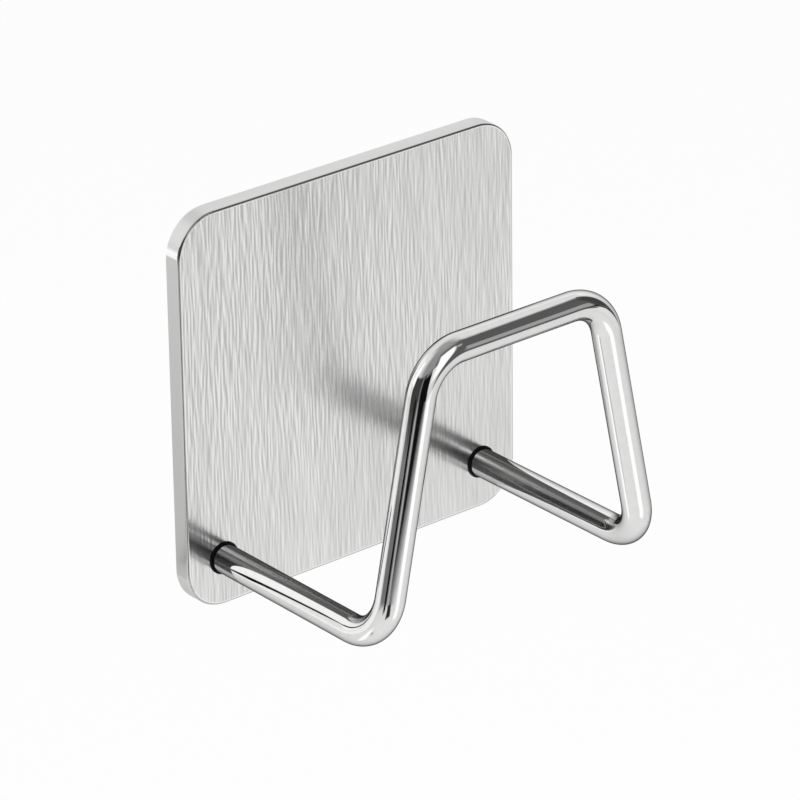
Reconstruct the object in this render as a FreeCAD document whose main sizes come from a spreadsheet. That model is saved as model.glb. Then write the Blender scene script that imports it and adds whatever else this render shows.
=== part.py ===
import FreeCAD, Part
import Sketcher
import math
import os

# Wall holder for a kitchen sponge: a square plate that sticks to a smooth wall,
# and one rod bent into two legs and a tapering front frame.
# The sponge stands on the legs, between the plate and the front frame.
# Millimetres; X to the right, Z up, the wall at Y = 0 and the front towards -Y.

doc = FreeCAD.newDocument("sponge_holder")

# Driving sizes
driving_sizes = [
    ("plate_side", 70.0, "side of the square plate"),
    ("plate_thickness", 3.2, "metal that shows on the plate's edge"),
    ("plate_corner_radius", 7.5, "corner of the plate, seen from the front"),
    ("plate_edge_round", 0.4, "small round along the plate's front edge"),
    ("wire_diameter", 5.0, "round rod"),
    ("leg_inset", 7.4, "plate's side edge to the leg's axis"),
    ("leg_height", 8.4, "plate's lower edge to the leg's axis"),
    ("sponge_gap", 38.5, "plate's front face to the back of the front frame"),
    ("frame_height", 47.1, "leg's axis to the top bar's axis"),
    ("post_lean", 9.55, "how far each post leans in over the frame's height"),
    ("bend_radius", 8.0, "all four bends, on the rod's axis"),
    ("foot_chamfer", 0.2, "bevel on each end of the rod"),
    ("washer_rim", 0.35, "washer that shows outside the rod"),
    ("washer_thickness", 0.25, "sealing washer under each foot"),
    ("thread_diameter", 3.0, "countersunk screw"),
    ("screw_length", 10.0, "countersunk screw, head included"),
    ("screw_head_diameter", 5.5, "countersunk head"),
    ("screw_head_land", 0.25, "straight rim of the head"),
    ("screw_tip", 0.4, "bevel on the screw's end"),
    ("screw_sink", 0.15, "top of the head below the plate's back face"),
    ("socket_width", 2.0, "hexagon socket, across flats"),
    ("socket_depth", 1.1, "hexagon socket"),
    ("thread_gap", 0.05, "radial, screw in the rod's end"),
    ("shank_gap", 0.2, "radial, screw in the plate and in the washer"),
    ("head_gap", 0.1, "radial, screw's head in the countersink"),
    ("tapping_run_out", 1.5, "hole in the rod beyond the screw's end"),
    ("pad_inset", 2.0, "plate's edge to the pad's edge"),
    ("pad_thickness", 1.0, "double-sided foam pad"),
    ("pad_corner_least", 0.5, "smallest corner radius that the pad can have"),
]
sheet = doc.addObject("Spreadsheet::Sheet", "sizes")
for row, (alias, value, meaning) in enumerate(driving_sizes, start=1):
    sheet.set(f"A{row}", meaning)
    sheet.set(f"B{row}", str(value))
    sheet.setAlias(f"B{row}", alias)
doc.recompute()

# Places that several pieces share, as formulas on the driving sizes
leg_half_span = "(sizes.plate_side / 2 - sizes.leg_inset)"
leg_level = "(sizes.leg_height - sizes.plate_side / 2)"
top_half_span = f"({leg_half_span} - sizes.post_lean)"
top_level = f"({leg_level} + sizes.frame_height)"
plate_front = "(sizes.pad_thickness + sizes.plate_thickness)"
frame_depth = "(sizes.sponge_gap + sizes.wire_diameter / 2)"  # from the plate's front face
lean_angle = "atan2(sizes.post_lean; sizes.frame_height)"
post_length = "sqrt(pow(sizes.post_lean; 2) + pow(sizes.frame_height; 2))"
top_turn = f"(90 deg - {lean_angle})"
top_tangent = f"(sizes.bend_radius * tan({top_turn} / 2))"
shank_hole_radius = "(sizes.thread_diameter / 2 + sizes.shank_gap)"

full_turn = 360
origin_point = (-1, 1)
sketch_axes = {"across": -1, "upright": -2}
normal = FreeCAD.Vector(0, 0, 1)


def value_of(formula):
    return float(sheet.evalExpression(formula))


def new_body(name, x="0", y="0", z="0"):
    body = doc.addObject("PartDesign::Body", name)
    body.Label = name
    for axis, formula in zip("xyz", (x, y, z)):
        body.setExpression(f"Placement.Base.{axis}", formula)
    return body


def origin_plane(body, role):
    return [feature for feature in body.Origin.OriginFeatures if feature.Role == role][0]


def new_sketch(body, name, plane, offset=("0", "0", "0"), turn_axis=normal, turn=None):
    # offset: three formulas, along the plane's own x, y and normal
    sketch = body.newObject("Sketcher::SketchObject", name)
    sketch.AttachmentSupport = (origin_plane(body, plane), [""])
    sketch.MapMode = "FlatFace"
    if turn is not None:
        first_turn = FreeCAD.Rotation(turn_axis, 1)
        sketch.AttachmentOffset = FreeCAD.Placement(FreeCAD.Vector(), first_turn)
        sketch.setExpression("AttachmentOffset.Rotation.Angle", turn)
    for axis, formula in zip("xyz", offset):
        sketch.setExpression(f"AttachmentOffset.Base.{axis}", formula)
    return sketch


def add_dimension(sketch, kind, refs, name, formula):
    constraint = Sketcher.Constraint(kind, *refs, value_of(formula))
    sketch.renameConstraint(sketch.addConstraint(constraint), name)
    sketch.setExpression(f"Constraints.{name}", formula)


def add_line(sketch, start, end):
    return sketch.addGeometry(
        Part.LineSegment(FreeCAD.Vector(*start, 0), FreeCAD.Vector(*end, 0)))


def add_circle(sketch, name, diameter):
    # on the sketch's own origin
    shape = Part.Circle(FreeCAD.Vector(), normal, value_of(diameter) / 2)
    circle = sketch.addGeometry(shape)
    sketch.addConstraint(Sketcher.Constraint("Coincident", circle, 3, *origin_point))
    add_dimension(sketch, "Diameter", (circle,), name, diameter)


def add_bend_section(sketch, on_axis, direction):
    # the rod's section, one bend radius away from the line that the rod bends about
    centre = FreeCAD.Vector(*direction, 0) * value_of("sizes.bend_radius")
    shape = Part.Circle(centre, normal, value_of("sizes.wire_diameter") / 2)
    circle = sketch.addGeometry(shape)
    sketch.addConstraint(Sketcher.Constraint("PointOnObject", circle, 3, sketch_axes[on_axis]))
    add_dimension(sketch, "Distance", (circle, 3, *origin_point), "bend", "sizes.bend_radius")
    add_dimension(sketch, "Diameter", (circle,), "rod", "sizes.wire_diameter")


def add_rounded_square(sketch, side, radius):
    # four lines and four tangent corner arcs, centred on the origin
    half = value_of(side) / 2
    corner = value_of(radius)
    flat = half - corner
    arcs = []
    quarters = ((flat, flat), (-flat, flat), (-flat, -flat), (flat, -flat))
    for quarter, (x, y) in enumerate(quarters):
        circle = Part.Circle(FreeCAD.Vector(x, y, 0), normal, corner)
        start = quarter * math.pi / 2
        arcs.append(sketch.addGeometry(Part.ArcOfCircle(circle, start, start + math.pi / 2)))
    lines = [
        add_line(sketch, (flat, half), (-flat, half)),
        add_line(sketch, (-half, flat), (-half, -flat)),
        add_line(sketch, (-flat, -half), (flat, -half)),
        add_line(sketch, (half, -flat), (half, flat)),
    ]
    top, left, bottom, right = lines
    for arc, line, next_arc in zip(arcs, lines, arcs[1:] + arcs[:1]):
        sketch.addConstraint(Sketcher.Constraint("Tangent", arc, 2, line, 1))
        sketch.addConstraint(Sketcher.Constraint("Tangent", line, 2, next_arc, 1))
    for line in (top, bottom):
        sketch.addConstraint(Sketcher.Constraint("Horizontal", line))
    for line in (left, right):
        sketch.addConstraint(Sketcher.Constraint("Vertical", line))
    for arc in arcs[1:]:
        sketch.addConstraint(Sketcher.Constraint("Equal", arcs[0], arc))
    sketch.addConstraint(
        Sketcher.Constraint("Symmetric", arcs[0], 3, arcs[2], 3, *origin_point))
    add_dimension(sketch, "DistanceX", (left, 1, right, 1), "width", side)
    add_dimension(sketch, "DistanceY", (bottom, 1, top, 1), "height", side)
    add_dimension(sketch, "Radius", (arcs[0],), "corner", radius)


def add_turned_outline(sketch, corners):
    # half section about the sketch's y axis; each corner is a radius and a depth below
    # the origin, as formulas, with None for a corner on that axis
    points = []
    for radius, depth in corners:
        x = 0 if radius is None else value_of(radius)
        y = 0 if depth is None else -value_of(depth)
        points.append((x, y))
    lines = []
    for point, next_point in zip(points, points[1:] + points[:1]):
        lines.append(add_line(sketch, point, next_point))
    for line, next_line in zip(lines, lines[1:] + lines[:1]):
        sketch.addConstraint(Sketcher.Constraint("Coincident", line, 2, next_line, 1))
    for number, (line, (radius, depth)) in enumerate(zip(lines, corners)):
        corner = (line, 1)
        if radius is None:
            sketch.addConstraint(Sketcher.Constraint("PointOnObject", *corner, sketch_axes["upright"]))
        else:
            across = (*origin_point, *corner)
            add_dimension(sketch, "DistanceX", across, f"radius{number}", radius)
        if depth is None:
            sketch.addConstraint(Sketcher.Constraint("PointOnObject", *corner, sketch_axes["across"]))
        else:
            down = (*corner, *origin_point)
            add_dimension(sketch, "DistanceY", down, f"depth{number}", depth)


def add_hexagon(sketch, width_across_flats):
    corner_radius = f"{width_across_flats} / 2 / cos(30 deg)"
    reach = value_of(corner_radius)
    sides = 6
    corners = []
    for number in range(sides):
        angle = 2 * math.pi * number / sides
        corners.append((reach * math.cos(angle), reach * math.sin(angle)))
    lines = []
    for corner, next_corner in zip(corners, corners[1:] + corners[:1]):
        lines.append(add_line(sketch, corner, next_corner))
    guide = sketch.addGeometry(Part.Circle(FreeCAD.Vector(), normal, reach), True)
    sketch.addConstraint(Sketcher.Constraint("Coincident", guide, 3, *origin_point))
    for line, next_line in zip(lines, lines[1:] + lines[:1]):
        sketch.addConstraint(Sketcher.Constraint("Coincident", line, 2, next_line, 1))
        sketch.addConstraint(Sketcher.Constraint("PointOnObject", line, 1, guide))
    for line in lines[1:]:
        sketch.addConstraint(Sketcher.Constraint("Equal", lines[0], line))
    sketch.addConstraint(Sketcher.Constraint("PointOnObject", lines[0], 1, sketch_axes["across"]))
    add_dimension(sketch, "Radius", (guide,), "corner_radius", corner_radius)


def add_feature(body, kind, name, sketch):
    feature = body.newObject(f"PartDesign::{kind}", name)
    feature.Profile = sketch
    return feature


def add_pad(body, name, sketch, length, backwards=False):
    pad = add_feature(body, "Pad", name, sketch)
    pad.setExpression("Length", length)
    pad.Reversed = backwards
    doc.recompute()
    return pad


def add_pocket(body, name, sketch, length):
    # along the sketch's normal, into the solid
    volume_before = body.Shape.Volume
    pocket = add_feature(body, "Pocket", name, sketch)
    pocket.setExpression("Length", length)
    pocket.Reversed = True
    doc.recompute()
    assert pocket.Shape.Volume < volume_before, f"{name} removes nothing"
    return pocket


def add_bend(body, name, sketch, axis, turn, backwards=False):
    bend = add_feature(body, "Revolution", name, sketch)
    bend.ReferenceAxis = (sketch, [axis])
    bend.setExpression("Angle", turn)
    bend.Reversed = backwards
    doc.recompute()
    return bend


def add_full_turn(body, kind, name, sketch):
    turned = add_feature(body, kind, name, sketch)
    turned.ReferenceAxis = (sketch, ["V_Axis"])
    turned.Angle = full_turn
    doc.recompute()
    return turned


def add_mirror(body, name, features):
    mirror = body.newObject("PartDesign::Mirrored", name)
    mirror.Originals = features
    mirror.MirrorPlane = (origin_plane(body, "YZ_Plane"), [""])
    body.Tip = mirror
    doc.recompute()


def make_adhesive_pad():
    # double-sided foam pad between the wall and the plate
    body = new_body("adhesive_pad")
    outline = new_sketch(body, "pad_outline", "XZ_Plane")
    side = "sizes.plate_side - 2 * sizes.pad_inset"
    radius = "max(sizes.plate_corner_radius - sizes.pad_inset; sizes.pad_corner_least)"
    add_rounded_square(outline, side, radius)
    add_pad(body, "pad_foam", outline, "sizes.pad_thickness")
    return body


def make_base_plate():
    # rounded front edge, and two countersunk holes from behind
    body = new_body("base_plate", y="-sizes.pad_thickness")
    outline = new_sketch(body, "plate_outline", "XZ_Plane")
    add_rounded_square(outline, "sizes.plate_side", "sizes.plate_corner_radius")
    blank = add_pad(body, "plate_blank", outline, "sizes.plate_thickness")
    faces = blank.Shape.Faces
    front = min(range(len(faces)), key=lambda number: faces[number].CenterOfMass.y)
    edge = body.newObject("PartDesign::Fillet", "front_edge_round")
    edge.Base = (blank, [f"Face{front + 1}"])
    edge.setExpression("Radius", "sizes.plate_edge_round")
    doc.recompute()
    place = (f"-{leg_half_span}", "0", leg_level)
    section = new_sketch(body, "hole_section", "XY_Plane", place)
    sink_radius = "(sizes.screw_head_diameter / 2 + sizes.head_gap)"
    sink_rim = "(sizes.screw_sink + sizes.screw_head_land)"
    add_turned_outline(section, [
        (None, None),
        (sink_radius, None),
        (sink_radius, sink_rim),
        (shank_hole_radius, f"{sink_rim} + {sink_radius} - {shank_hole_radius}"),
        (shank_hole_radius, "sizes.plate_thickness"),
        (None, "sizes.plate_thickness"),
    ])
    hole = add_full_turn(body, "Groove", "countersunk_hole", section)
    assert hole.Shape.Volume < edge.Shape.Volume, "the hole removes nothing"
    add_mirror(body, "countersunk_hole_pair", [hole])
    return body


def make_wire_frame():
    # left leg, bend, post, bend and half of the top bar, then the same on the right
    body = new_body("wire_frame", y=f"-{plate_front}")
    lean_aside = f"sizes.bend_radius * sin({lean_angle})"
    lean_up = f"sizes.bend_radius * cos({lean_angle})"

    leg_place = (f"-{leg_half_span}", "-sizes.washer_thickness", leg_level)
    leg_section = new_sketch(body, "leg_section", "XY_Plane", leg_place)
    leg_length = f"({frame_depth} - sizes.washer_thickness - sizes.bend_radius)"
    rod_radius = "sizes.wire_diameter / 2"
    add_turned_outline(leg_section, [
        (None, None),
        (f"{rod_radius} - sizes.foot_chamfer", None),
        (rod_radius, "sizes.foot_chamfer"),
        (rod_radius, leg_length),
        (None, leg_length),
    ])
    leg = add_full_turn(body, "Revolution", "leg", leg_section)

    lower_place = (f"-{leg_half_span} + {lean_aside}", f"{leg_level} + {lean_up}",
                   f"{frame_depth} - sizes.bend_radius")
    lower_section = new_sketch(
        body, "lower_bend_section", "XZ_Plane", lower_place, -normal, lean_angle)
    add_bend_section(lower_section, "upright", (0, -1))
    lower_bend = add_bend(body, "lower_bend", lower_section, "H_Axis", "90", backwards=True)

    sideways = FreeCAD.Vector(0, 1, 0)
    post_place = (f"-{leg_half_span} + {lean_aside}", f"-{frame_depth}",
                  f"{leg_level} + {lean_up}")
    post_section = new_sketch(
        body, "post_section", "XY_Plane", post_place, sideways, lean_angle)
    add_circle(post_section, "rod", "sizes.wire_diameter")
    straight_length = f"{post_length} - sizes.bend_radius - {top_tangent}"
    post = add_pad(body, "post", post_section, straight_length)

    upper_place = (f"-{top_half_span} - {top_tangent} * sin({lean_angle}) + {lean_up}",
                   f"-{frame_depth}",
                   f"{top_level} - {top_tangent} * cos({lean_angle}) - {lean_aside}")
    upper_section = new_sketch(
        body, "upper_bend_section", "XY_Plane", upper_place, sideways, lean_angle)
    add_bend_section(upper_section, "across", (-1, 0))
    upper_bend = add_bend(body, "upper_bend", upper_section, "V_Axis", top_turn)

    bar_place = (f"-{frame_depth}", top_level, "0")
    bar_section = new_sketch(body, "top_bar_section", "YZ_Plane", bar_place)
    add_circle(bar_section, "rod", "sizes.wire_diameter")
    half_length = f"{top_half_span} - {top_tangent}"
    bar = add_pad(body, "top_bar_half", bar_section, half_length, backwards=True)

    leg_foot = (f"-{leg_half_span}", leg_level, "sizes.washer_thickness")
    thread_section = new_sketch(body, "tapped_hole_section", "XZ_Plane", leg_foot)
    add_circle(thread_section, "thread", "sizes.thread_diameter + 2 * sizes.thread_gap")
    screw_reach = ("sizes.screw_sink + sizes.screw_length"
                   " - sizes.plate_thickness - sizes.washer_thickness")
    thread = add_pocket(
        body, "tapped_hole", thread_section, f"{screw_reach} + sizes.tapping_run_out")
    add_mirror(body, "right_half", [leg, lower_bend, post, upper_bend, bar, thread])
    return body


def make_foot_washer(side, x):
    # black sealing washer between a leg's end and the plate
    body = new_body(f"{side}_foot_washer", x, f"-{plate_front}", leg_level)
    outline = new_sketch(body, f"{side}_washer_outline", "XZ_Plane")
    add_circle(outline, "outer", "sizes.wire_diameter + 2 * sizes.washer_rim")
    add_circle(outline, "inner", f"2 * {shank_hole_radius}")
    add_pad(body, f"{side}_washer_ring", outline, "sizes.washer_thickness")
    return body


def make_frame_screws():
    # two countersunk screws, from behind the plate into the ends of the rod
    body = new_body("frame_screws", y="-sizes.pad_thickness - sizes.screw_sink")
    section = new_sketch(
        body, "screw_section", "XY_Plane", (f"-{leg_half_span}", "0", leg_level))
    head_radius = "sizes.screw_head_diameter / 2"
    shank_radius = "sizes.thread_diameter / 2"
    add_turned_outline(section, [
        (None, None),
        (head_radius, None),
        (head_radius, "sizes.screw_head_land"),
        (shank_radius, f"sizes.screw_head_land + {head_radius} - {shank_radius}"),
        (shank_radius, "sizes.screw_length - sizes.screw_tip"),
        (f"{shank_radius} - sizes.screw_tip", "sizes.screw_length"),
        (None, "sizes.screw_length"),
    ])
    screw = add_full_turn(body, "Revolution", "screw", section)
    socket_outline = new_sketch(
        body, "socket_outline", "XZ_Plane", (f"-{leg_half_span}", leg_level, "0"))
    add_hexagon(socket_outline, "sizes.socket_width")
    socket = add_pocket(body, "hexagon_socket", socket_outline, "sizes.socket_depth")
    add_mirror(body, "screw_pair", [screw, socket])
    return body


base_plate = make_base_plate()
wire_frame = make_wire_frame()
left_washer = make_foot_washer("left", f"-{leg_half_span}")
right_washer = make_foot_washer("right", leg_half_span)
frame_screws = make_frame_screws()
adhesive_pad = make_adhesive_pad()
doc.recompute()

# Every feature is sound, every sketch is fixed in full and every piece is whole
for item in doc.Objects:
    assert not {"Invalid", "Error"} & set(item.State), item.Name
    if item.isDerivedFrom("Sketcher::SketchObject"):
        assert item.solve() == 0 and item.FullyConstrained, item.Name
pieces = [base_plate, wire_frame, left_washer, right_washer, frame_screws, adhesive_pad]
for piece in pieces:
    assert not piece.Shape.isNull() and piece.Shape.isValid(), piece.Label
    assert len(piece.Shape.Solids) == (2 if piece is frame_screws else 1), piece.Label

# One file for each piece
os.makedirs("parts", exist_ok=True)
for piece in pieces:
    piece.Shape.exportStep(f"parts/{piece.Label}.step")
    print(piece.Label, "solids", len(piece.Shape.Solids), "mm3", round(piece.Shape.Volume, 1))
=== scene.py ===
import math
import random
import bpy
from mathutils import Matrix, Vector


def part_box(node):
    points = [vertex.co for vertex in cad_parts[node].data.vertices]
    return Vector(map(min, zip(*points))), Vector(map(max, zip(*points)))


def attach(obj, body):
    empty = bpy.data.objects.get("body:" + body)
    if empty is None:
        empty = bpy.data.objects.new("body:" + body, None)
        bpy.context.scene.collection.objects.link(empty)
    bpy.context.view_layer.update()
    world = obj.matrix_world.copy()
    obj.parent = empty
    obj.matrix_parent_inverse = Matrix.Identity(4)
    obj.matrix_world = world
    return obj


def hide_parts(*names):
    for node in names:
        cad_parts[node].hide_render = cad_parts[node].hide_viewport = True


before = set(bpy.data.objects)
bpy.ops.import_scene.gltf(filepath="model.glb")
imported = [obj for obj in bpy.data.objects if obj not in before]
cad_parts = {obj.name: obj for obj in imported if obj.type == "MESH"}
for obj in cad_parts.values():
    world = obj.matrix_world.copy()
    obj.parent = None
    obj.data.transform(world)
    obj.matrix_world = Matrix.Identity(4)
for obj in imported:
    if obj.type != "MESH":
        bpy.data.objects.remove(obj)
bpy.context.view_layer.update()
scene = bpy.context.scene
scene.view_settings.view_transform = "Standard"
mm = 0.001
print("frame loaded:", ", ".join(sorted(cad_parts)))


# small helpers for meshes

def newPiece(name, points, faces, smooth=True):
    mesh = bpy.data.meshes.new(name)
    mesh.from_pydata(points, [], faces)
    mesh.validate()
    piece = bpy.data.objects.new(name, mesh)
    scene.collection.objects.link(piece)
    for face in mesh.polygons:
        face.use_smooth = smooth
    return piece


def joinRings(rings, closed=True):
    # faces between rings of point numbers, all of the same length
    faces = []
    for ring, nextRing in zip(rings, rings[1:]):
        count = len(ring)
        for i in range(count if closed else count - 1):
            j = (i + 1) % count
            faces.append((ring[i], ring[j], nextRing[j], nextRing[i]))
    return faces


def ringPiece(name, rings, sharpAngle, capped=True):
    # a skin over rings of points, with its two ends capped or else joined to each other
    points, numbers = [], []
    for ring in rings:
        numbers.append(range(len(points), len(points) + len(ring)))
        points.extend(ring)
    if capped:
        faces = joinRings(numbers)
        faces.append(tuple(reversed(numbers[0])))
        faces.append(tuple(numbers[-1]))
    else:
        faces = joinRings(numbers + numbers[:1])
    piece = newPiece(name, points, faces)
    piece.data.set_sharp_from_angle(angle=math.radians(sharpAngle))
    return piece


def roundAngles(sides):
    return [2 * math.pi * (side + 0.5) / sides for side in range(sides)]


def setMaterial(piece, material):
    piece.data.materials.clear()
    piece.data.materials.append(material)


def direction(azimuth, elevation):
    # azimuth 0 is towards the front (-Y), growing to the right; both in degrees
    turn, rise = math.radians(azimuth), math.radians(elevation)
    return Vector((math.sin(turn) * math.cos(rise), -math.cos(turn) * math.cos(rise),
                   math.sin(rise)))


# small helpers for materials

# spans that a noise texture's values lie in: nearly all of them, most and the middle ones
wideNoise, usualNoise, middleNoise = (0.25, 0.75), (0.3, 0.7), (0.35, 0.65)


def newMaterial(name):
    material = bpy.data.materials.new(name)
    material.use_nodes = True
    material.node_tree.nodes.clear()
    return material, material.node_tree


def addNode(tree, kind, inputs=None, **settings):
    node = tree.nodes.new(kind)
    for key, value in settings.items():
        setattr(node, key, value)
    for key, value in (inputs or {}).items():
        if isinstance(value, bpy.types.NodeSocket):
            tree.links.new(value, node.inputs[key])
        else:
            node.inputs[key].default_value = value
    return node


def millimetres(tree, scale=(1, 1, 1)):
    # the piece's own coordinates in millimetres, stretched by scale
    coords = addNode(tree, "ShaderNodeTexCoord")
    return addNode(tree, "ShaderNodeMapping", {
        "Vector": coords.outputs["Object"],
        "Scale": tuple(s / mm for s in scale)}).outputs["Vector"]


def noise(tree, vector, detail, roughness=0.5):
    return addNode(tree, "ShaderNodeTexNoise", {
        "Vector": vector, "Scale": 1.0, "Detail": detail,
        "Roughness": roughness}).outputs["Fac"]


def vectorMath(tree, operation, *inputs):
    return addNode(tree, "ShaderNodeVectorMath", dict(enumerate(inputs)),
                   operation=operation).outputs


def combine(tree, operation, first, second):
    return addNode(tree, "ShaderNodeMath", {0: first, 1: second},
                   operation=operation).outputs["Value"]


def remap(tree, value, span, newSpan=(0.0, 1.0)):
    return addNode(tree, "ShaderNodeMapRange", {
        "Value": value, "From Min": span[0], "From Max": span[1],
        "To Min": newSpan[0], "To Max": newSpan[1]}).outputs["Result"]


def ramp(tree, value, span, colours):
    # from the first colour where the value enters the span to the second where it leaves
    node = addNode(tree, "ShaderNodeValToRGB", {"Fac": value})
    for element, place, colour in zip(node.color_ramp.elements, span, colours):
        element.position = place
        element.color = (*colour, 1)
    return node.outputs["Color"]


def shades(colour, factors):
    return [tuple(c * factor for c in colour) for factor in factors]


def blendValues(tree, share, first, second):
    # the mix node's sockets go by number, because their names repeat
    return addNode(tree, "ShaderNodeMix", {0: share, 2: first, 3: second}).outputs[0]


def blendColours(tree, share, first, second):
    return addNode(tree, "ShaderNodeMix", {0: share, 6: first, 7: second},
                   data_type="RGBA").outputs[2]


def bump(tree, height, strength, depth):
    return addNode(tree, "ShaderNodeBump", {
        "Height": height, "Strength": strength, "Distance": depth}).outputs["Normal"]


def finishSurface(tree, inputs):
    shader = addNode(tree, "ShaderNodeBsdfPrincipled", inputs)
    addNode(tree, "ShaderNodeOutputMaterial", {"Surface": shader.outputs["BSDF"]})


def finishBlend(tree, share, first, second):
    mixed = addNode(tree, "ShaderNodeMixShader", {0: share, 1: first, 2: second})
    addNode(tree, "ShaderNodeOutputMaterial", {"Surface": mixed.outputs["Shader"]})


# brushed plate: the CAD solid, with an upright grain and a polished rim; painted shade and
# painted highlight on the rim and the narrow sides
plateSettings = {
    "dark": (0.555, 0.555, 0.55),             # the brushed face in its scratches
    "light": (0.90, 0.90, 0.895),             # and on the ridges beside them
    # painted shade: the rim is darker, standing in for a dark reflection along the front edge
    "rim": (0.42, 0.42, 0.417),
    "paintedRimHighlight": (0.88, 0.88, 0.875),             # painted highlight: a pale line inside the rim
    "side": (0.645, 0.645, 0.64),             # top and bottom edges, and round the corners
    "arc": (0.97, 0.97, 0.965),               # painted highlight where the upper corners end
    "paintedFlankShade": (0.54, 0.54, 0.535),             # left and right edges, darker as painted shade
    "corner": 7.5,                            # mm
    "rimInset": 0.40,                         # mm from the outline to where the flat face starts
    "stripWidth": 0.14,                       # mm
    "brushFade": 0.04,                        # mm to each side of where the brushing starts
    "grain": (3.6, 3.6, 0.20),                # turns of the grain per mm, across and along
    "pitch": 0.38,                            # mm from a scratch to the ridge beside it
    "streaks": (1.1, 1.1, 0.10),              # turns per mm of the broader streaks under it
    "streaksApart": 7.0,                      # mm, so that they don't follow the scratches
    "cloud": (0.045, 0.045, 0.045),           # turns per mm of the slow change in tone
    "shares": (0.70, 0.16, 0.14),             # of grain, streaks and cloud in the tone
    "toneSpan": (0.28, 0.72),                 # the tones that are shown as dark and as light
    "patch": (0.09, 0.09, 0.05),              # turns per mm of the change in the grain's depth
    "depth": (0.98, 1.38),                    # least and most depth of the grain
    "calm": (("X", (-5, 25), 0.56),           # axis, mm over which the grain fades, what is left:
             ("Z", (-5, -28), 0.47)),         # towards the right and towards the foot
    "wander": (0.10, (0.30, 0.30, 0.10)),     # mm that a line strays sideways, turns per mm
    "tilt": (0.014, 0.006),                   # how far the lines lean, across and along
    "tiltApart": (53.0, 31.0),                # mm, so that it doesn't follow the scratches
    "roughness": (0.21, 0.17),                # in the scratches and on the ridges
    "rimRoughness": 0.12,
    "sideRoughness": 0.28,
    "anisotropy": 0.35,
    "grazing": (0.75, 0.75, 0.75),            # how much reflection is left at a flat angle
    "faceZone": (0.97, 0.999),                # |Y| of the normal from the rim to the two faces
    "sideZone": (0.55, 0.8),                  # |Y| of the normal from the narrow sides to the rim
    "arcZone": (0.95, 0.972),                 # |X| of the normal from a corner to its end
    "flankZone": (0.99, 0.9955),              # |X| of the normal from there to the flank
    "upperZone": (0.0, 0.05),                 # Z of the normal from lower to upper corners
}


def outlineInset(tree, halfSide, corner):
    # mm inwards from the plate's rounded outline, seen from the front
    size = vectorMath(tree, "ABSOLUTE", millimetres(tree, (1, 0, 1)))["Vector"]
    straight = halfSide - corner
    beyond = vectorMath(tree, "SUBTRACT", size, (straight, 0, straight))["Vector"]
    kept = vectorMath(tree, "MAXIMUM", beyond, (0, 0, 0))["Vector"]
    return combine(tree, "SUBTRACT", corner, vectorMath(tree, "LENGTH", kept)["Value"])


def strayedPlace(tree, stray, scale):
    # coordinates in mm that stray sideways, so that no line of the grain is quite straight
    drift = noise(tree, millimetres(tree, scale), detail=1)
    offset = addNode(tree, "ShaderNodeCombineXYZ", {
        "X": remap(tree, drift, wideNoise, (-stray, stray))})
    return vectorMath(tree, "ADD", millimetres(tree), offset.outputs["Vector"])["Vector"]


def grainNoise(tree, place, scale, shift=0.0):
    # noise drawn out along the grain, taken shift mm to the side
    stretched = vectorMath(tree, "MULTIPLY_ADD", place, scale, (shift * scale[0], 0, 0))
    return noise(tree, stretched["Vector"], detail=0)


def grainDepth(tree, settings):
    # deeper in some patches, and calmer at the right and at the foot
    patch = noise(tree, millimetres(tree, settings["patch"]), detail=1)
    depth = remap(tree, patch, middleNoise, settings["depth"])
    place = addNode(tree, "ShaderNodeSeparateXYZ", {"Vector": millimetres(tree)})
    for axis, span, left in settings["calm"]:
        depth = combine(tree, "MULTIPLY", depth,
                        remap(tree, place.outputs[axis], span, (1.0, left)))
    return depth


def brushedTone(tree, settings, place):
    # how light the face is: scratches beside ridges, over streaks and slow clouds
    scratch = grainNoise(tree, place, settings["grain"])
    ridge = grainNoise(tree, place, settings["grain"], settings["pitch"])
    relief = combine(tree, "MULTIPLY", combine(tree, "SUBTRACT", scratch, ridge),
                     grainDepth(tree, settings))
    tones = (combine(tree, "ADD", relief, 0.5),
             grainNoise(tree, place, settings["streaks"], settings["streaksApart"]),
             noise(tree, millimetres(tree, settings["cloud"]), detail=2))
    grain, streaks, cloud = (combine(tree, "MULTIPLY", tone, share)
                             for tone, share in zip(tones, settings["shares"]))
    return combine(tree, "ADD", combine(tree, "ADD", grain, streaks), cloud)


def leaningNormal(tree, settings, place, normal, brushedShare):
    # each line of the grain leans a little its own way
    leans = {}
    for axis, tilt, apart in zip("XZ", settings["tilt"], settings["tiltApart"]):
        lean = grainNoise(tree, place, settings["grain"], apart)
        leans[axis] = combine(tree, "MULTIPLY", remap(tree, lean, wideNoise, (-tilt, tilt)),
                              brushedShare)
    offset = addNode(tree, "ShaderNodeCombineXYZ", leans)
    leaning = vectorMath(tree, "ADD", normal, offset.outputs["Vector"])
    return vectorMath(tree, "NORMALIZE", leaning["Vector"])["Vector"]


def narrowSides(tree, settings, facing):
    # plain round the corners, with a painted highlight where an upper one ends and painted shade
    # darkening the left and right flanks
    upright = combine(tree, "ABSOLUTE", facing["X"], 0.0)
    paintedHighlightShare = combine(tree, "MULTIPLY", remap(tree, upright, settings["arcZone"]),
                        remap(tree, facing["Z"], settings["upperZone"]))
    rounded = blendColours(tree, paintedHighlightShare, (*settings["side"], 1), (*settings["arc"], 1))
    return blendColours(tree, remap(tree, upright, settings["flankZone"]),
                        rounded, (*settings["paintedFlankShade"], 1))


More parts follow.
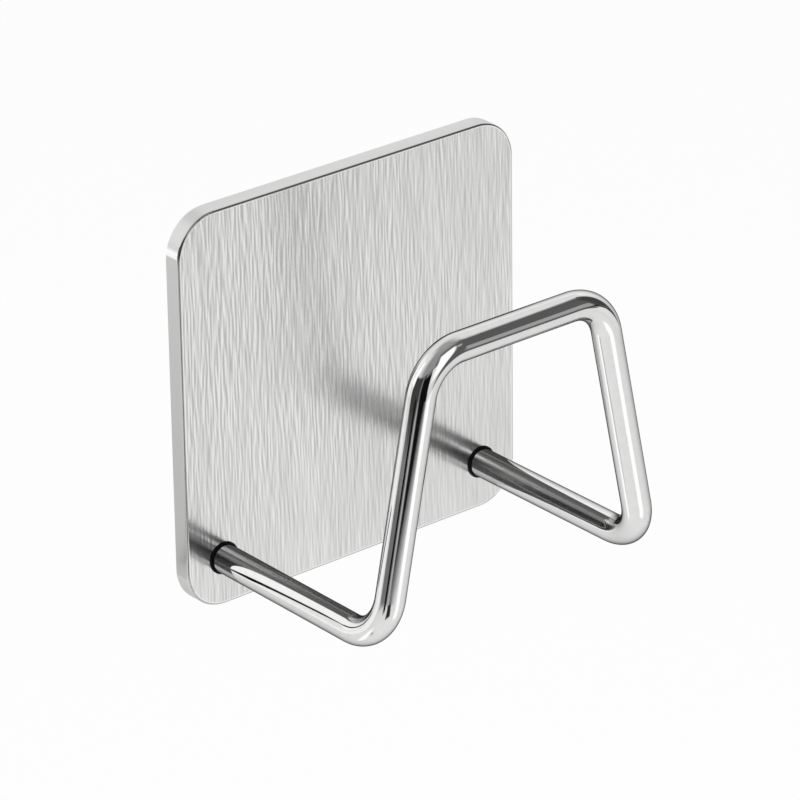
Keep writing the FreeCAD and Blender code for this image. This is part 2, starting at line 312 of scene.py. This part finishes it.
def brushedSteel(settings):
    material, tree = newMaterial("brushedSteel")
    normal = addNode(tree, "ShaderNodeNewGeometry").outputs["Normal"]
    facing = addNode(tree, "ShaderNodeSeparateXYZ", {"Vector": normal}).outputs
    flatness = combine(tree, "ABSOLUTE", facing["Y"], 0.0)
    flat = remap(tree, flatness, settings["faceZone"])                # 1 on the two faces
    side = remap(tree, flatness, settings["sideZone"], (1.0, 0.0))    # 1 on the narrow sides
    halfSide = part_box("base_plate")[1].x / mm
    inset = outlineInset(tree, halfSide, settings["corner"])
    start, fade = settings["rimInset"] + settings["stripWidth"], settings["brushFade"]
    brushedShare = combine(tree, "MULTIPLY", flat,
                           remap(tree, inset, (start - fade, start + fade)))
    place = strayedPlace(tree, *settings["wander"])
    tone = brushedTone(tree, settings, place)
    brushed = ramp(tree, tone, settings["toneSpan"], (settings["dark"], settings["light"]))
    # the rim's painted shade, with a painted highlight line inside it
    paintedRimLines = blendColours(tree, flat, (*settings["rim"], 1), (*settings["paintedRimHighlight"], 1))
    edge = blendColours(tree, side, paintedRimLines, narrowSides(tree, settings, facing))
    edgeRough = blendValues(tree, side, settings["rimRoughness"], settings["sideRoughness"])
    brushedRough = remap(tree, tone, usualNoise, settings["roughness"])
    tangent = addNode(tree, "ShaderNodeTangent", direction_type="RADIAL", axis="Z")
    finishSurface(tree, {
        "Base Color": blendColours(tree, brushedShare, edge, brushed),
        "Metallic": 1.0,
        "Roughness": blendValues(tree, brushedShare, edgeRough, brushedRough),
        "Anisotropic": settings["anisotropy"],
        "Tangent": tangent.outputs["Tangent"],
        "Normal": leaningNormal(tree, settings, place, normal, brushedShare),
        "Specular Tint": (*settings["grazing"], 1),
    })
    return material


setMaterial(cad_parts["base_plate"], brushedSteel(plateSettings))
print("plate brushed")


# bent rod: swept round and smooth in place of the faceted CAD rod
rodSettings = {
    "radius": 2.5 * mm,
    "bendRadius": 8.0 * mm,
    "topCorner": 18.05 * mm,          # half the top bar, up to where post and bar would meet
    "holeRadius": 1.55 * mm,
    "holeDepth": 8.2 * mm,
    "holeTip": 0.02,                  # share of its radius that closes the hole's bottom
    "endBevel": 0.2 * mm,
    "sides": 72,
    "bendSteps": 28,
    "straightStep": 3.0 * mm,         # between rings where the rod is straight
    "sharpAngle": 35,                 # degrees
    "steel": (0.78, 0.78, 0.775),
    "shades": (0.97, 1.02),           # of the steel's colour, over the haze
    "haze": (0.8, 0.8, 0.8),          # turns per mm
    "roughness": (0.035, 0.075),
    "grazing": (0.08, 0.08, 0.08),    # how much reflection is left towards the outline
}


def addStraight(points, end, straightStep):
    start, heading = points[-1]
    count = max(1, round((end - start).length / straightStep))
    for step in range(1, count + 1):
        points.append((start.lerp(end, step / count), heading))


def roundedRoute(corners, radius, steps, straightStep):
    # points and directions along straight runs joined by round bends
    points = [(corners[0], (corners[1] - corners[0]).normalized())]
    for before, corner, after in zip(corners, corners[1:], corners[2:]):
        inward = (corner - before).normalized()
        outward = (after - corner).normalized()
        turn = inward.angle(outward)
        start = corner - inward * radius * math.tan(turn / 2)
        axis = inward.cross(outward).normalized()
        centre = start + axis.cross(inward) * radius
        addStraight(points, start, straightStep)
        for step in range(1, steps + 1):
            spin = Matrix.Rotation(turn * step / steps, 3, axis)
            points.append((centre + spin @ (start - centre), spin @ inward))
    addStraight(points, corners[-1], straightStep)
    return points


def sweepRings(route, startNormal, radius, sides):
    # rings of points that don't twist along the route
    normal = startNormal
    heading = route[0][1]
    rings = []
    for centre, nextHeading in route:
        normal = heading.rotation_difference(nextHeading) @ normal
        heading = nextHeading
        binormal = heading.cross(normal)
        rings.append([centre + radius * (math.cos(angle) * normal + math.sin(angle) * binormal)
                      for angle in roundAngles(sides)])
    return rings


def footRings(settings, foot, heading, ring):
    # bottom of the tapped hole, its wall, the end face and the broken edge
    outwards = [(point - foot) / settings["radius"] for point in ring]
    hole, holeDepth = settings["holeRadius"], settings["holeDepth"]
    steps = [(hole * settings["holeTip"], holeDepth), (hole, holeDepth), (hole, 0.0),
             (settings["radius"] - settings["endBevel"], 0.0)]
    return [[foot + heading * depth + out * radius for out in outwards]
            for radius, depth in steps]


def bentRod(settings):
    low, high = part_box("wire_frame")
    radius, bevel = settings["radius"], settings["endBevel"]
    legX, topX = -low.x - radius, settings["topCorner"]
    legZ, topZ = low.z + radius, high.z - radius
    frontY, footY = low.y + radius, high.y
    corners = [Vector(corner) for corner in (
        (-legX, footY, legZ), (-legX, frontY, legZ), (-topX, frontY, topZ),
        (topX, frontY, topZ), (legX, frontY, legZ), (legX, footY, legZ))]
    route = roundedRoute(corners, settings["bendRadius"], settings["bendSteps"],
                         settings["straightStep"])
    (start, startHeading), (end, endHeading) = route[0], route[-1]
    startBevel, endBevel = startHeading * bevel, endHeading * bevel
    route[0] = (start + startBevel, startHeading)
    route[-1] = (end - endBevel, endHeading)
    rings = sweepRings(route, Vector((1, 0, 0)), radius, settings["sides"])
    startRing = [point - startBevel for point in rings[0]]
    endRing = [point + endBevel for point in rings[-1]]
    rings = (footRings(settings, start, startHeading, startRing) + rings
             + footRings(settings, end, -endHeading, endRing)[::-1])
    return ringPiece("bentRod", rings, settings["sharpAngle"])


def polishedSteel(settings):
    material, tree = newMaterial("polishedSteel")
    haze = noise(tree, millimetres(tree, settings["haze"]), detail=4, roughness=0.65)
    finishSurface(tree, {
        "Base Color": ramp(tree, haze, middleNoise,
                           shades(settings["steel"], settings["shades"])),
        "Metallic": 1.0,
        "Roughness": remap(tree, haze, usualNoise, settings["roughness"]),
        "Specular Tint": (*settings["grazing"], 1),
    })
    return material


rod = bentRod(rodSettings)
setMaterial(rod, polishedSteel(rodSettings))
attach(rod, "root")
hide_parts("wire_frame")
print("rod bent, points", len(rod.data.vertices))


# rubber washers: turned rings with soft lips, squeezed between foot and plate
washerSettings = {
    "lip": 0.08 * mm,
    "bulge": 0.02 * mm,
    "holeRadius": 1.7 * mm,
    "sides": 72,
    "lipSteps": 5,
    "sharpAngle": 50,                    # degrees
    "rubber": (0.003, 0.003, 0.003),
    "shades": (1.0, 1.9),                # of the rubber's colour, over the bloom
    "bloom": (1.5, 1.5, 1.5),            # turns per mm
    "bloomSpan": (0.35, 0.75),
    "roughness": (0.55, 0.70),
    "gloss": 0.12,
    "pores": (14, 14, 14),               # turns per mm
    "poreBump": (0.25, 0.02 * mm),       # strength and depth
}


def washerProfile(settings, outer, thickness):
    # radius and height round the ring's section, with rounded lips on the outer side
    hole, lip, steps = settings["holeRadius"], settings["lip"], settings["lipSteps"]
    lipCentre = outer - settings["bulge"] - lip
    turns = [math.pi / 2 * step / steps for step in range(steps + 1)]
    lower = [(lipCentre + lip * math.sin(turn), lip - lip * math.cos(turn)) for turn in turns]
    upper = [(lipCentre + lip * math.cos(turn), thickness - lip + lip * math.sin(turn))
             for turn in turns]
    return [(hole, 0.0), *lower, (outer, thickness / 2), *upper, (hole, thickness)]


def footWasher(name, node, settings):
    low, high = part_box(node)
    centre = (low + high) / 2
    profile = washerProfile(settings, (high.x - low.x) / 2, high.y - low.y)
    rings = [[(centre.x + radius * math.cos(angle), high.y - height,
               centre.z + radius * math.sin(angle)) for angle in roundAngles(settings["sides"])]
             for radius, height in profile]
    return ringPiece(name, rings, settings["sharpAngle"], capped=False)


def blackRubber(settings):
    material, tree = newMaterial("blackRubber")
    bloom = noise(tree, millimetres(tree, settings["bloom"]), detail=3)
    pores = noise(tree, millimetres(tree, settings["pores"]), detail=2)
    finishSurface(tree, {
        "Base Color": ramp(tree, bloom, settings["bloomSpan"],
                           shades(settings["rubber"], settings["shades"])),
        "Roughness": remap(tree, bloom, usualNoise, settings["roughness"]),
        "Specular IOR Level": settings["gloss"],
        "Normal": bump(tree, pores, *settings["poreBump"]),
    })
    return material


rubber = blackRubber(washerSettings)
for side in ("left", "right"):
    washer = footWasher(side + "Washer", side + "_foot_washer", washerSettings)
    setMaterial(washer, rubber)
    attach(washer, "root")
    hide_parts(side + "_foot_washer")
print("washers turned")


# screws: the CAD solids, with a plain machined finish
screwSettings = {
    "steel": (0.52, 0.52, 0.52),
    "shades": (0.85, 1.1),              # of the steel's colour, over the tool marks
    "roughness": (0.28, 0.42),
    "tooling": (4, 9, 4),               # turns of the tool marks per mm
    "toolBump": (0.2, 0.01 * mm),       # strength and depth
}


def machinedSteel(settings):
    material, tree = newMaterial("machinedSteel")
    tooling = noise(tree, millimetres(tree, settings["tooling"]), detail=3)
    finishSurface(tree, {
        "Base Color": ramp(tree, tooling, middleNoise,
                           shades(settings["steel"], settings["shades"])),
        "Metallic": 1.0,
        "Roughness": remap(tree, tooling, usualNoise, settings["roughness"]),
        "Normal": bump(tree, tooling, *settings["toolBump"]),
    })
    return material


setMaterial(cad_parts["frame_screws"], machinedSteel(screwSettings))
print("screws finished")


# foam pad: die-cut double-sided foam on the back of the plate
padSettings = {
    "cornerRadius": 5.5 * mm,
    "cornerSteps": 12,
    "edgeStep": 1.5 * mm,
    "waist": 0.16 * mm,                 # how far the cut edge draws in half way through
    "ragged": 0.05 * mm,
    "levels": 7,
    "insets": (0.25, 1.2, 4.0, 10.0, 18.0, 26.0, 31.0),    # mm from the edge to the faces' rings
    "faceSink": 0.02 * mm,              # how far the faces lie below the edge
    "seed": 4,
    "sharpAngle": 40,                   # degrees
    "foam": (0.33, 0.34, 0.35),
    "shades": (0.82, 1.14),             # of the foam's colour, over the mottling
    "cloud": (0.12, 0.12, 0.12),        # turns per mm of the slow change in colour
    "fleck": (3.0, 3.0, 3.0),           # turns per mm of the flecks
    "mottleShares": (0.15, 0.85),       # of cloud and flecks
    "roughness": (0.45, 0.65),
    "cells": 5.5,                       # per mm
    "cellBump": (0.35, 0.05 * mm),      # strength and depth
}


def padOutline(half, settings):
    # points round the cut edge, and the way out at each
    radius, cornerSteps = settings["cornerRadius"], settings["cornerSteps"]
    flat = half - radius
    count = round(2 * flat / settings["edgeStep"])
    outline = []
    for quarter in range(4):
        turn = Matrix.Rotation(quarter * math.pi / 2, 2)
        for step in range(count):
            outline.append((turn @ Vector((half, -flat + 2 * flat * step / count)),
                            turn @ Vector((1, 0))))
        for step in range(cornerSteps):
            angle = math.pi / 2 * step / cornerSteps
            out = Vector((math.cos(angle), math.sin(angle)))
            outline.append((turn @ (Vector((flat, flat)) + radius * out), turn @ out))
    return outline


def padEdge(settings, outline, backY, thickness):
    # rings down the cut edge, each a little ragged
    draws = random.Random(settings["seed"])
    levels = settings["levels"]
    rings = []
    for level in range(levels + 1):
        share = level / levels
        waist = settings["waist"] * math.sin(math.pi * share)
        ring = []
        for place, out in outline:
            inside = place - out * (waist + settings["ragged"] * draws.random())
            ring.append((inside.x, backY - thickness * share, inside.y))
        rings.append(ring)
    return rings


def padFace(settings, outline, half, y, inwards):
    # rings from the edge of one face to its middle
    rings = []
    for inset in settings["insets"]:
        scale = 1 - inset * mm / half
        sunk = y + inwards * settings["faceSink"] * min(1.0, inset)
        rings.append([(place.x * scale, sunk, place.y * scale) for place, out in outline])
    return rings


def foamPad(settings):
    low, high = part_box("adhesive_pad")
    half = high.x
    outline = padOutline(half, settings)
    rings = (padFace(settings, outline, half, high.y, -1)[::-1]
             + padEdge(settings, outline, high.y, high.y - low.y)
             + padFace(settings, outline, half, low.y, 1))
    return ringPiece("foamPad", rings, settings["sharpAngle"])


def closedFoam(settings):
    material, tree = newMaterial("closedFoam")
    cloud = noise(tree, millimetres(tree, settings["cloud"]), detail=3)
    fleck = noise(tree, millimetres(tree, settings["fleck"]), detail=3, roughness=0.7)
    mottle = combine(tree, "ADD", *(combine(tree, "MULTIPLY", tone, share) for tone, share
                                    in zip((cloud, fleck), settings["mottleShares"])))
    cells = addNode(tree, "ShaderNodeTexVoronoi", {
        "Vector": millimetres(tree), "Scale": settings["cells"]})
    finishSurface(tree, {
        "Base Color": ramp(tree, mottle, middleNoise,
                           shades(settings["foam"], settings["shades"])),
        "Roughness": remap(tree, fleck, usualNoise, settings["roughness"]),
        "Normal": bump(tree, cells.outputs["Distance"], *settings["cellBump"]),
    })
    return material


pad = foamPad(padSettings)
setMaterial(pad, closedFoam(padSettings))
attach(pad, "root")
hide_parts("adhesive_pad")
print("foam pad cut")


# studio: pale floor, white surroundings, and cards that only the metal sees
floorSettings = {
    "height": -0.25,                # metres
    "size": 6.0,                    # metres
    "paper": (0.90, 0.90, 0.90),
    "whiteShare": 0.85,             # share of plain white in what the camera sees of it
}
worldSettings = {
    "fill": 0.90,                   # brightness that lights the matt surfaces
    "surroundings": 0.92,           # brightness that the metal mirrors
}
studioCentre = Vector((0, -0.024, -0.004))
cardGrid = {"columns": 32, "rows": 16}
# azimuths along the lower and the upper edge, elevations, all in degrees; distance in metres;
# brightness; how far the sides, the lower and the upper edge fade, in degrees
studioCards = {
    "ceiling": ((-110, 85), (-110, 85), (26, 88), 0.54, 0.33, (45, 3, 1)),
    "zenith": ((-180, 180), (-180, 180), (58, 89.9), 0.535, 0.40, (0.1, 25, 0.1)),
    "ceilingFront": ((-26, 62), (-26, 62), (28, 64), 0.53, 0.16, (10, 3, 8)),
    "tableLeft": ((-113, -45), (-113, -45), (-17, -5), 0.52, 0.20, (4, 8, 2)),
    "tableDeep": ((-58, -28), (-58, -36), (-37, -13), 0.36, 0.03, (5, 4, 3)),
    "tableFront": ((-52, -4), (-52, -4), (-21, -6), 0.52, 0.12, (4, 11, 2)),
    "roomLeft": ((-113, -42), (-113, -42), (-8, 33), 0.50, 0.055, (3, 4, 4)),
    "columnLeft": ((-61, -48), (-61, -45), (-9, 34), 0.49, 0.19, (4, 4, 6)),
    "flagLeft": ((-82, -66), (-82, -66), (-25, 2), 0.485, 0.008, (4, 8, 6)),
    "glowLeft": ((-64, -53), (-64, -53), (-15, -3), 0.48, 0.50, (3, 4, 3)),
    "flagFront": ((-52, -5), (-52, -23), (-12, 36), 0.475, 0.006, (3, 1.5, 14)),
    "roomRight": ((13.5, 83), (13.5, 83), (-17, 54), 0.50, 0.12, (3, 4, 5)),
    "farRight": ((50, 83), (50, 83), (4, 46), 0.495, 0.065, (8, 3, 6)),
    "hazeRight": ((24, 32), (20, 38), (30, 44), 0.492, 0.50, (5, 6, 3)),
    "panelRight": ((30, 51), (30, 51), (-6, 17), 0.49, 0.42, (3, 4, 4)),
    "underRight": ((34.5, 88), (52, 61), (-18, 0), 0.485, 0.95, (1.5, 2, 1)),
    "arcLeft": ((37, 40.5), (51, 59), (-7, 6), 0.48, 0.02, (1, 1, 1)),
    "arcRight": ((78, 83), (52, 58), (-8, 4), 0.48, 0.02, (1, 1, 1)),
    "lightLeft": ((-134, -106), (-134, -106), (10, 54), 0.47, 1.30, (6, 8, 6)),
    "backLeft": ((-166, -128), (-166, -137), (-7, 52), 0.475, 1.15, (5, 3, 8)),
    "backRight": ((86, 120), (86, 178), (-29, 50), 0.49, 1.15, (10, 6, 8)),
    "streak": ((-8, 24), (-8, 24), (-52, -11), 0.30, 1.30, (7, 8, 5)),
    "postShine": ((-130, -104), (-105, -89), (-58, -29), 0.285, 1.30, (4, 6, 6)),
    "postLine": ((-96, -85), (-96, -85), (-52, -41), 0.28, 0.50, (3.5, 6, 1.5)),
    "lowLeft": ((-174, -117), (-174, -117), (-24, -6), 0.45, 1.12, (5, 6, 3)),
    "lowRight": ((52, 104), (52, 104), (-57, -32), 0.28, 1.02, (6, 6, 6)),
}
nearCards = {    # as above, after the point that the card stands round
    "softbox": ((-0.012, -0.045, 0.016), (-9, 14), (-22, 30), (-2, 53), 0.065, 1.35, (7, 4, 8)),
    "legFlag": ((-0.0276, -0.021, -0.0266), (-154, -142), (-118, -104), (-9, 30), 0.030, 0.004,
                (1.2, 2, 2)),
}
lamps = {    # azimuth and elevation in degrees; distance, width and height in metres; watts
    "topLamp": (60, 62, 0.55, 0.35, 0.35, 0.8),
    "leftLamp": (-120, 40, 0.60, 0.25, 0.40, 0.4),
}


def stageFloor(settings):
    half, z = settings["size"] / 2, settings["height"]
    corners = [(-half, -half, z), (half, -half, z), (half, half, z), (-half, half, z)]
    floor = newPiece("floor", corners, [(0, 1, 2, 3)], smooth=False)
    material, tree = newMaterial("palePaper")
    paper = addNode(tree, "ShaderNodeBsdfDiffuse", {"Color": (*settings["paper"], 1)})
    white = addNode(tree, "ShaderNodeEmission", {"Color": (1, 1, 1, 1), "Strength": 1.0})
    seen = addNode(tree, "ShaderNodeLightPath")
    share = combine(tree, "MULTIPLY", seen.outputs["Is Camera Ray"], settings["whiteShare"])
    finishBlend(tree, share, paper.outputs["BSDF"], white.outputs["Emission"])
    setMaterial(floor, material)


def cardMaterial(name, level, fades):
    # fades: shares of the card's width and height over which each edge goes clear
    material, tree = newMaterial(name)
    coords = addNode(tree, "ShaderNodeTexCoord")
    parts = addNode(tree, "ShaderNodeSeparateXYZ", {"Vector": coords.outputs["UV"]})
    across, upwards = parts.outputs["X"], parts.outputs["Y"]
    edges = (across, combine(tree, "SUBTRACT", 1.0, across),
             upwards, combine(tree, "SUBTRACT", 1.0, upwards))
    cover = 1.0
    for edge, fade in zip(edges, fades):
        step = addNode(tree, "ShaderNodeMapRange", {
            "Value": edge, "From Max": fade}, interpolation_type="SMOOTHSTEP")
        cover = combine(tree, "MULTIPLY", step.outputs["Result"], cover)
    clear = addNode(tree, "ShaderNodeBsdfTransparent")
    glow = addNode(tree, "ShaderNodeEmission", {"Strength": level})
    finishBlend(tree, cover, clear.outputs["BSDF"], glow.outputs["Emission"])
    return material


def between(ends, share):
    return ends[0] * (1 - share) + ends[1] * share


def studioCard(name, centre, lower, upper, elevations, distance, level, soft):
    # part of a sphere round the centre, with straight or slanting sides
    columns, rows = cardGrid["columns"], cardGrid["rows"]
    points, places, numbers = [], [], []
    for row in range(rows + 1):
        v = row / rows
        sides = [between(ends, v) for ends in zip(lower, upper)]
        numbers.append(range(len(points), len(points) + columns + 1))
        for column in range(columns + 1):
            u = column / columns
            towards = direction(between(sides, u), between(elevations, v))
            points.append(centre + towards * distance)
            places.append((u, v))
    card = newPiece(name, points, joinRings(numbers, closed=False))
    layer = card.data.uv_layers.new(name="spread")
    for loop in card.data.loops:
        layer.data[loop.index].uv = places[loop.vertex_index]
    width = (lower[1] - lower[0] + upper[1] - upper[0]) / 2
    height = elevations[1] - elevations[0]
    softSides, softLower, softUpper = soft
    fades = (softSides / width, softSides / width, softLower / height, softUpper / height)
    setMaterial(card, cardMaterial(name, level, fades))
    card.visible_camera = False
    card.visible_diffuse = False
    card.visible_shadow = False
    card.visible_transmission = False


def studioLamp(name, azimuth, elevation, distance, width, height, power):
    data = bpy.data.lights.new(name, "AREA")
    data.shape = "RECTANGLE"
    data.size, data.size_y, data.energy = width, height, power
    lamp = bpy.data.objects.new(name, data)
    towards = direction(azimuth, elevation)
    lamp.location = studioCentre + towards * distance
    lamp.rotation_euler = towards.to_track_quat("Z", "Y").to_euler()
    lamp.visible_glossy = False
    scene.collection.objects.link(lamp)


def studioWorld(settings):
    world = bpy.data.worlds.new("studio")
    scene.world = world
    world.use_nodes = True
    tree = world.node_tree
    tree.nodes.clear()
    seen = addNode(tree, "ShaderNodeLightPath").outputs
    direct = combine(tree, "MAXIMUM", seen["Is Camera Ray"], seen["Is Transmission Ray"])
    mirrored = combine(tree, "MULTIPLY", seen["Is Glossy Ray"], settings["surroundings"])
    bright = combine(tree, "MAXIMUM", direct, mirrored)
    background = addNode(tree, "ShaderNodeBackground", {
        "Color": (1, 1, 1, 1),
        "Strength": combine(tree, "MAXIMUM", bright, settings["fill"])})
    addNode(tree, "ShaderNodeOutputWorld", {"Surface": background.outputs["Background"]})


stageFloor(floorSettings)
for name, card in studioCards.items():
    studioCard(name, studioCentre, *card)
for name, (centre, *card) in nearCards.items():
    studioCard(name, Vector(centre), *card)
for name, lamp in lamps.items():
    studioLamp(name, *lamp)
studioWorld(worldSettings)
print("studio lit")


# camera at the photograph's angle
cameraSettings = {
    "azimuth": -39.33, "elevation": 24.97, "roll": -0.78,    # degrees
    "aimAt": Vector((0, -0.0242, 0)),                        # metres
    "distance": 0.85673,                                     # metres, from the point aimed at
    "aimPixel": (430.23, 402.25),                            # where that point is in the picture
    "imagePixels": 800,
    "focalPixels": 5293.7,
    "sensorWidth": 36,                                       # mm
    "clip": (0.01, 20),                                      # metres, nearest and farthest
}


def stageCamera(settings):
    back = direction(settings["azimuth"], settings["elevation"])
    right = Vector((0, 0, 1)).cross(back).normalized()
    up = back.cross(right)
    spin = Matrix.Rotation(math.radians(settings["roll"]), 3, back)
    right, up = spin @ right, spin @ up
    pixels, focal = settings["imagePixels"], settings["focalPixels"]
    across = (settings["aimPixel"][0] - pixels / 2) / focal
    above = (pixels / 2 - settings["aimPixel"][1]) / focal
    data = bpy.data.cameras.new("camera")
    data.sensor_width = settings["sensorWidth"]
    data.lens = focal * data.sensor_width / pixels
    data.clip_start, data.clip_end = settings["clip"]
    camera = bpy.data.objects.new("camera", data)
    turned = Matrix((right, up, back)).transposed().to_4x4()
    turned.translation = (settings["aimAt"]
                          - settings["distance"] * (across * right + above * up - back))
    camera.matrix_world = turned
    scene.collection.objects.link(camera)
    scene.camera = camera


stageCamera(cameraSettings)
print("camera set")
